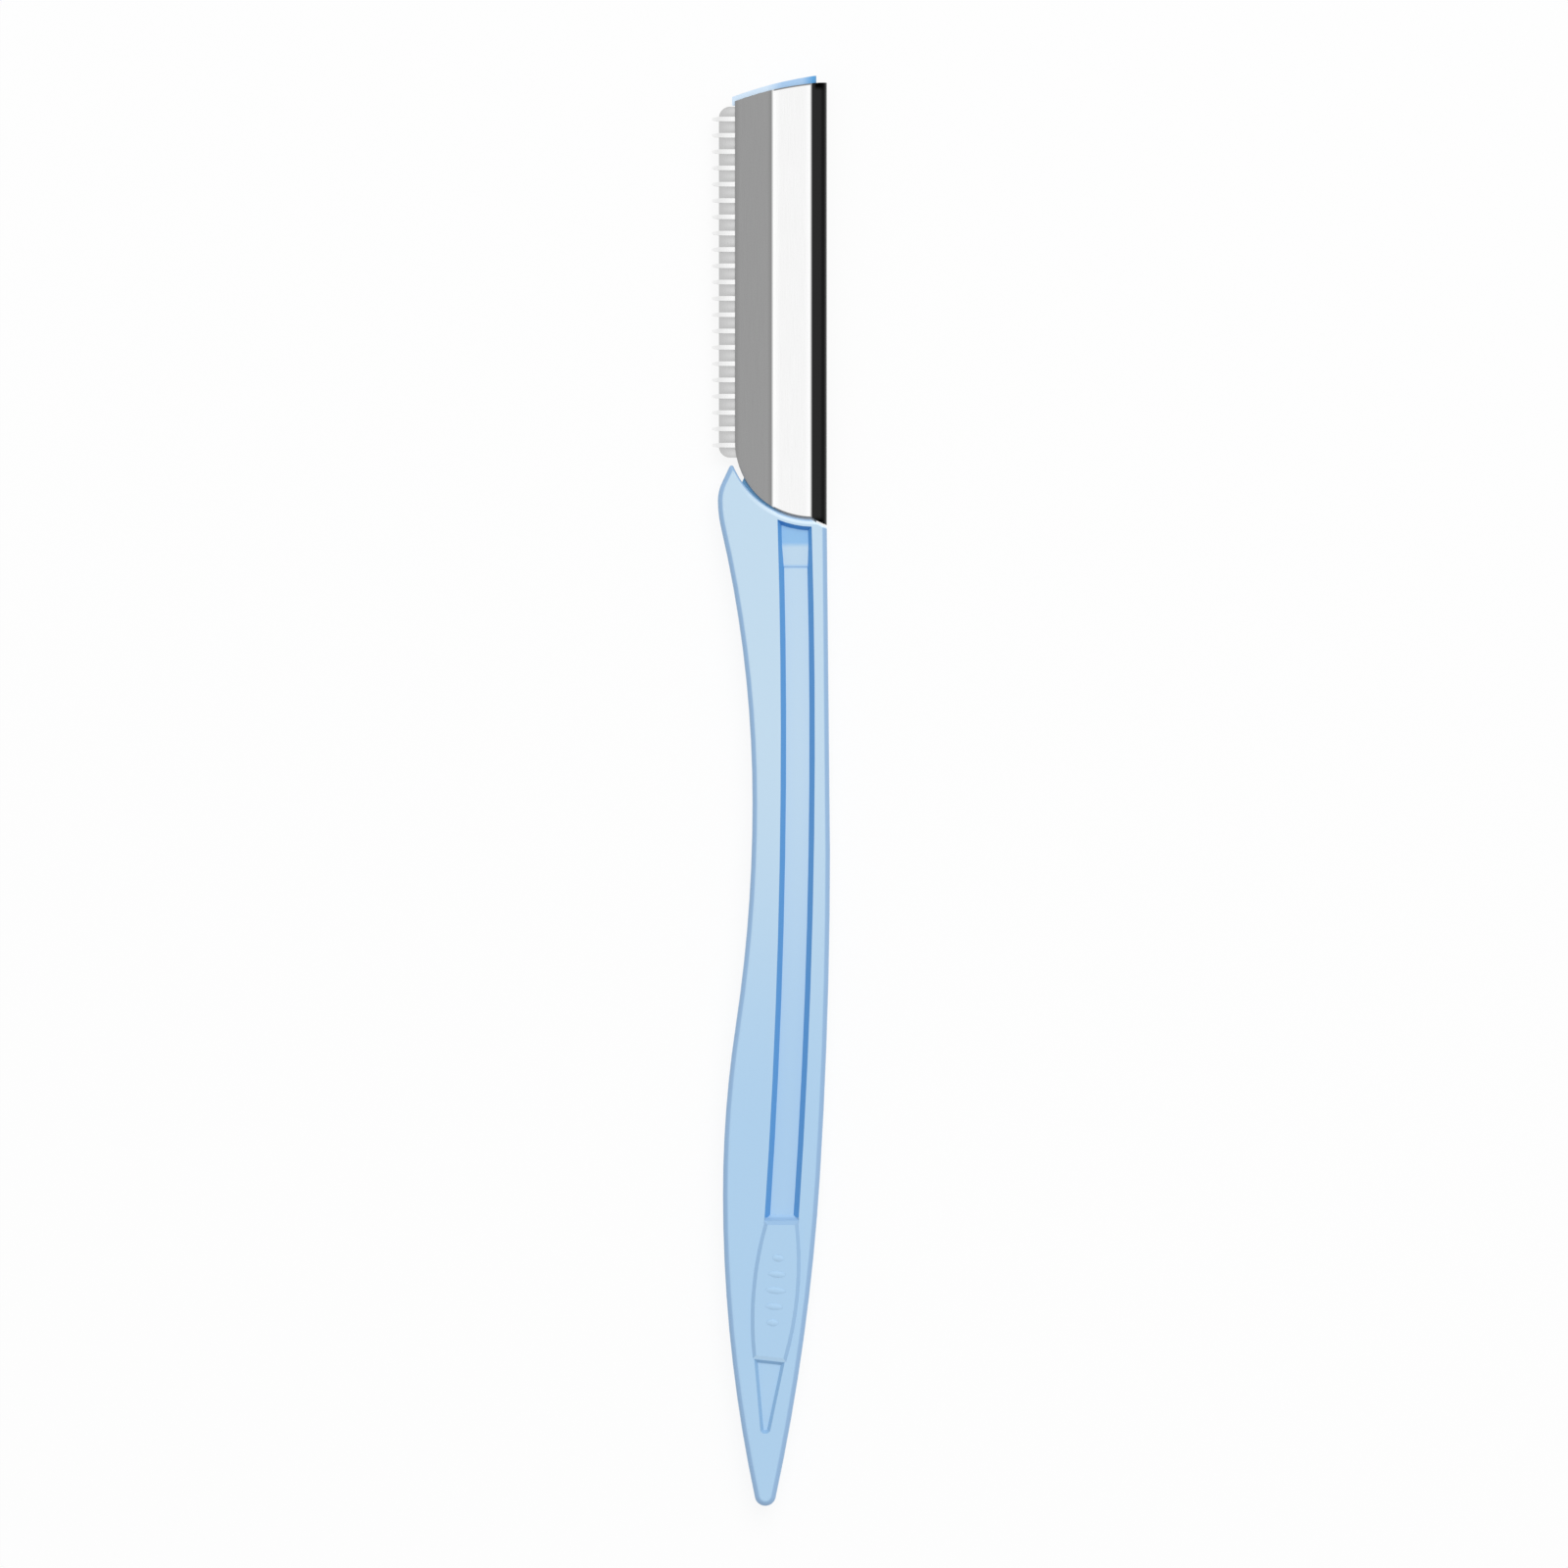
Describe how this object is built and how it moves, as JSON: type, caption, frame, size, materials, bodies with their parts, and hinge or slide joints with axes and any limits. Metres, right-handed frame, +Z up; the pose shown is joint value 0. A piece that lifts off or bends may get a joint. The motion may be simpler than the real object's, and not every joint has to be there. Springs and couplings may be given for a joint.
{
  "type": "eyebrow razor",
  "caption": "Slim flat eyebrow razor: moulded grip with a thumb pad, folded steel cover over the head, and a guarded straight blade along one side.",
  "frame": {"origin": "middle of the razor's bounding box, on the plane that its back lies on", "axes": "+Y along the razor to the blade end, +X across it from the cutting edge to the spine, +Z up out of the face with the thumb pad"},
  "size_m": [0.0128, 0.1548, 0.0041],
  "materials": {
    "handle_plastic": "satin",
    "carrier_plastic": "satin",
    "cover_steel": "bright brushed",
    "blade_steel": "ground",
    "guard_steel": "bright"
  },
  "bodies": {
    "root": {"handle": "handle_plastic", "blade_carrier": "carrier_plastic", "blade_cover": "cover_steel", "blade": "blade_steel", "edge_guard": "guard_steel"}
  },
  "joints": []
}
